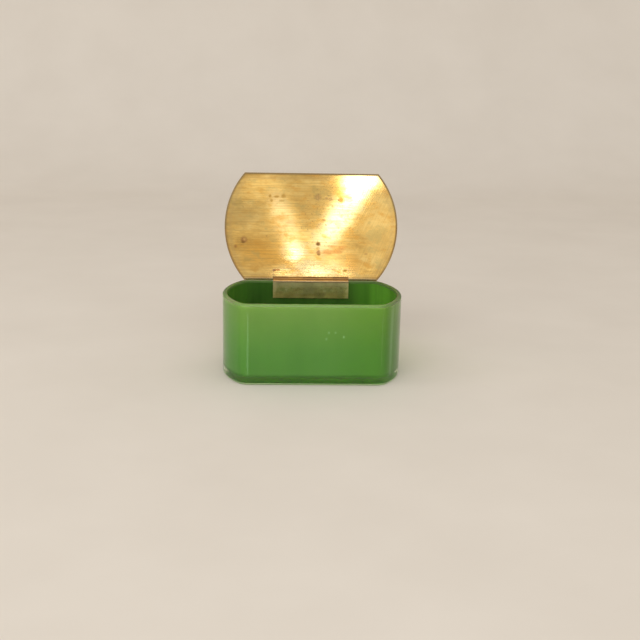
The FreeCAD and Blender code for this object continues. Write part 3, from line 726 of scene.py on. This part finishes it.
# Glass
clear_glass = model_clear_glass()
green_lining = model_green_lining()
paint(clear_glass, clear_glass_finish())
paint(
    green_lining,
    green_finish("green_layer_under_glass", "outside"),
    green_finish("green_layer_bare", "inside"),
    green_finish("green_layer_over_base", "below"),
    green_finish("green_layer_at_rim", "edge"),
)
BARE, OVER_BASE, AT_RIM = 1, 2, 3  # slots of the green layer's finishes; other faces keep the first
for face in green_lining.data.polygons:
    place, normal = face.center, face.normal
    outwards = place.x * normal.x + place.y * normal.y
    if normal.z < -0.95:
        face.material_index = OVER_BASE
    elif place.z > HEIGHT - RIM_ROUND:
        face.material_index = AT_RIM
    elif outwards < -0.0005 or normal.z > 0.2:
        face.material_index = BARE
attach(clear_glass, "box")
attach(green_lining, "box")
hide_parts("clear_glass_body")
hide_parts("green_glass_lining")

# Metal
hinge_brass = hinge_brass_finish()
for name in ("box_hinge_leaf", "hinge_pin"):
    paint(nodes[name], hinge_brass)
lid_brass = lid_brass_finish()
for name in ("lid_plate", "lid_hinge_leaf"):
    paint(nodes[name], lid_brass)
solder = dull_finish("dull_solder", (0.30, 0.28, 0.24), (0.50, 0.47, 0.42), 1.0, 0.5)
paint(nodes["lid_solder"], solder)
cement = dull_finish("bedding_cement", (0.33, 0.28, 0.19), (0.50, 0.44, 0.33), 0.0, 0.85)
paint(nodes["hinge_cement"], cement)

# Floor and backdrop in one sweep
FLOOR_SIZE = 6
FLOOR_LEVEL = -0.0002  # just under the foot
SWEEP_START, SWEEP_RADIUS, SWEEP_STEPS = 0.9, 0.5, 16
BACKDROP_HEIGHT = 4
clear_selection()
bpy.ops.mesh.primitive_plane_add(size=FLOOR_SIZE, location=(0, 0, FLOOR_LEVEL))
floor = bpy.context.object
floor.name = "floor_sweep"
edit(floor)
bpy.ops.mesh.select_mode(type="EDGE")
bpy.ops.mesh.select_all(action="DESELECT")
leave_edit()
for vertex in floor.data.vertices:
    if vertex.co.y > 0:
        vertex.co.y = SWEEP_START
for edge in floor.data.edges:
    edge.select = all(floor.data.vertices[i].co.y > 0 for i in edge.vertices)
edit(floor)
bpy.ops.mesh.spin(
    steps=SWEEP_STEPS, angle=-math.pi / 2, center=(0, SWEEP_START, SWEEP_RADIUS), axis=(1, 0, 0)
)
bpy.ops.mesh.extrude_region_move(TRANSFORM_OT_translate={"value": (0, 0, BACKDROP_HEIGHT)})
leave_edit()
bpy.ops.object.shade_smooth()
pale = material("pale_paper")
tree = pale.node_tree
fibre = noise(tree, object_place(tree), 9, 3.0)
paper = node(
    tree,
    "ShaderNodeBsdfPrincipled",
    {
        "Base Color": ramp(tree, fibre, [(0.3, (0.74, 0.675, 0.595)), (0.7, (0.77, 0.705, 0.625))]),
        "Roughness": 0.9,
        "Specular IOR Level": 0.1,
    },
)
node(tree, "ShaderNodeOutputMaterial", {"Surface": paper.outputs[0]})
paint(floor, pale)


def lamp(name, place, aim, width, height, watts, colour=(1, 1, 1), roll=0.0):
    clear_selection()
    bpy.ops.object.light_add(type="AREA", location=place)
    made = bpy.context.object
    made.name = name
    made.data.shape = "RECTANGLE"
    made.data.size, made.data.size_y = width, height
    made.data.energy = watts
    made.data.color = colour
    towards = (Vector(aim) - Vector(place)).to_track_quat("-Z", "Y").to_matrix().to_4x4()
    made.matrix_world = Matrix.Translation(place) @ towards @ Matrix.Rotation(roll, 4, "Z")
    made.visible_camera = False
    return made


LIT_POINT = (0, 0, 0.06)
lamp("front_window", (-0.5, -2.0, 1.8), LIT_POINT, 3.0, 1.3, 28, (1, 0.985, 0.96))
lamp("left_window", (-1.5, -0.4, 0.9), LIT_POINT, 0.9, 0.9, 2.5)


def only_reflected(card, strength):
    """Gives a gleam card its own spread of light, and hides it from all but reflections."""
    tree = card.data.node_tree
    tree.links.new(strength, tree.nodes["Emission"].inputs["Strength"])
    card.visible_diffuse = False
    card.visible_transmission = False


def across_card(card):
    """Where on a card its light leaves, from 0 to 1 across it and along it."""
    card.data.use_nodes = True
    tree = card.data.node_tree
    spot = node(tree, "ShaderNodeNewGeometry").outputs["Parametric"]
    parts = node(tree, "ShaderNodeSeparateXYZ", {0: spot})
    return tree, parts.outputs["X"], parts.outputs["Y"]


# The cards for the lid stand where the lid mirrors the camera's line of sight
GLEAM_X, GLEAM_Y, GLEAM_Z = 0.0094, -0.25, 0.0927
GLEAM_SPREAD = 1.314  # how much larger a card is than the gleam it makes
GLEAM_CORE = 0.34  # the share of a card, from its middle out, that shines in full


def lid_gleam(name, x, up, width, height, glow, roll=0.0):
    """A soft oval card before the lid that only shows as a gleam, given by where it shows on the lid."""
    wide, tall = width * GLEAM_SPREAD, height * GLEAM_SPREAD
    place = (GLEAM_X + x * GLEAM_SPREAD, GLEAM_Y, GLEAM_Z + up * GLEAM_SPREAD)
    aim = (place[0], 0.05, place[2] - 0.03)
    watts = glow * math.pi * math.pi / 4 * wide * tall
    card = lamp(name, place, aim, wide, tall, watts, roll=math.radians(roll))
    card.data.shape = "ELLIPSE"
    tree, across, along = across_card(card)
    out = around(tree, across, along, 0.5, 0.5, 0.5, 0.5, 0.0)
    only_reflected(card, fade(tree, out, GLEAM_CORE, 1.0, 1.0, 0.0))


# Each card's name, then along the lid, up it, length, height and glow of its gleam, and its turn
LID_GLEAMS = [
    ("gleam_room", 0.030, 0.052, 0.150, 0.130, 0.18),
    ("gleam_left_top", -0.044, 0.080, 0.050, 0.040, 0.33),
    ("gleam_left_side", -0.048, 0.041, 0.066, 0.046, 0.12),
    ("gleam_right_side", 0.063, 0.038, 0.050, 0.080, 0.19),
    ("gleam_band", 0.0280, 0.060, 0.032, 0.082, 1.9, -31),
    ("gleam_corner", 0.0415, 0.0875, 0.056, 0.022, 4.5),
    ("gleam_under_corner", 0.0390, 0.077, 0.026, 0.022, 2.6),
    ("gleam_patch", -0.0150, 0.0205, 0.015, 0.0062, 6),
    ("gleam_over_patch", -0.0185, 0.0320, 0.016, 0.018, 0.8),
    ("gleam_arm", -0.0235, 0.053, 0.030, 0.066, 0.72, 19),
    ("gleam_low", 0.002, 0.026, 0.080, 0.050, 0.52),
    ("gleam_low_right", 0.0225, 0.0150, 0.026, 0.014, 0.8),
    ("gleam_low_end", 0.0440, 0.0065, 0.036, 0.012, 0.45),
    ("gleam_hinge_start", -0.0220, 0.0042, 0.036, 0.0060, 2.2),
    ("gleam_hinge", 0.0025, 0.0042, 0.043, 0.0060, 5.5),
    ("gleam_hinge_end", 0.0250, 0.0042, 0.026, 0.0060, 4),
]
for gleam in LID_GLEAMS:
    lid_gleam(*gleam)

# The wedges on the floor start and end this far from the glass
WEDGE_NEAR, WEDGE_FAR = 0.010, 0.36
WEDGE_LEVEL = 0.001


def glass_gleam(name, start, heading, spread, glow, colour):
    """A soft wedge lying on the floor that only shows as an upright gleam in the glass above start."""
    ahead = Vector((math.cos(math.radians(heading)), math.sin(math.radians(heading)), 0))
    aside = Vector((-ahead.y, ahead.x, 0))
    width, length = spread * WEDGE_FAR, WEDGE_FAR - WEDGE_NEAR
    place = Vector((*start, WEDGE_LEVEL)) + ahead * (WEDGE_NEAR + WEDGE_FAR) / 2
    watts = glow * math.pi * width * length
    card = lamp(name, place, place + Vector((0, 0, 1)), width, length, watts, colour)
    turned = Matrix((aside, ahead, (0, 0, -1))).transposed().to_4x4()
    card.matrix_world = Matrix.Translation(place) @ turned
    tree, across, along = across_card(card)
    reach = maths(tree, "MULTIPLY_ADD", along, length / WEDGE_FAR / 2, WEDGE_NEAR / WEDGE_FAR / 2)
    off_middle = maths(tree, "ABSOLUTE", maths(tree, "SUBTRACT", across, 0.5))
    out = maths(tree, "DIVIDE", off_middle, reach)
    soft = times(tree, fade(tree, out, GLEAM_CORE, 1.0, 1.0, 0.0), fade(tree, along, 0.0, 0.035))
    only_reflected(card, times(tree, soft, fade(tree, along, 0.7, 1.0, 1.0, 0.0)))


glass_gleam("gleam_right_end", (0.0645, -0.0356), 30, 0.22, 0.52, (0.90, 1.0, 0.66))
glass_gleam("gleam_right_corner", (0.0563, -0.0437), -43, 0.24, 0.7, (1.0, 1.0, 0.6))
glass_gleam("gleam_left_corner", (-0.0526, -0.0445), -101, 0.30, 1.7, (0.80, 1.0, 0.75))

# The room's soft light from all round
world = bpy.data.worlds.new("soft_room")
bpy.context.scene.world = world
world.use_nodes = True
room_light = world.node_tree.nodes["Background"]
room_light.inputs["Color"].default_value = (0.98, 0.97, 0.95, 1)
room_light.inputs["Strength"].default_value = 0.70

# Camera, fitted to the photograph together with the box's proportions
PICTURE, FOCAL, SENSOR = 640, 1150, 36  # picture width and focal length in pixels, sensor width in mm
back_tilt, swing, roll = math.radians(15.292), math.radians(-2.279), math.radians(1.094)
target, distance = Vector((0.007061, 0, 0.043495)), 0.973168
back = Vector(
    (math.sin(swing) * math.cos(back_tilt), -math.cos(swing) * math.cos(back_tilt), math.sin(back_tilt))
)
right = (-back).cross(Vector((0, 0, 1))).normalized()
up = right.cross(-back)
level_right = right * math.cos(roll) + up * math.sin(roll)
level_up = up * math.cos(roll) - right * math.sin(roll)
clear_selection()
bpy.ops.object.camera_add(location=target + back * distance)
camera = bpy.context.object
camera.matrix_world = Matrix.Translation(target + back * distance) @ Matrix(
    (level_right, level_up, back)
).transposed().to_4x4()
camera.data.sensor_width = SENSOR
camera.data.lens = FOCAL / PICTURE * SENSOR
camera.data.clip_start = 0.02
bpy.context.scene.camera = camera
bpy.context.scene.view_settings.view_transform = "Standard"
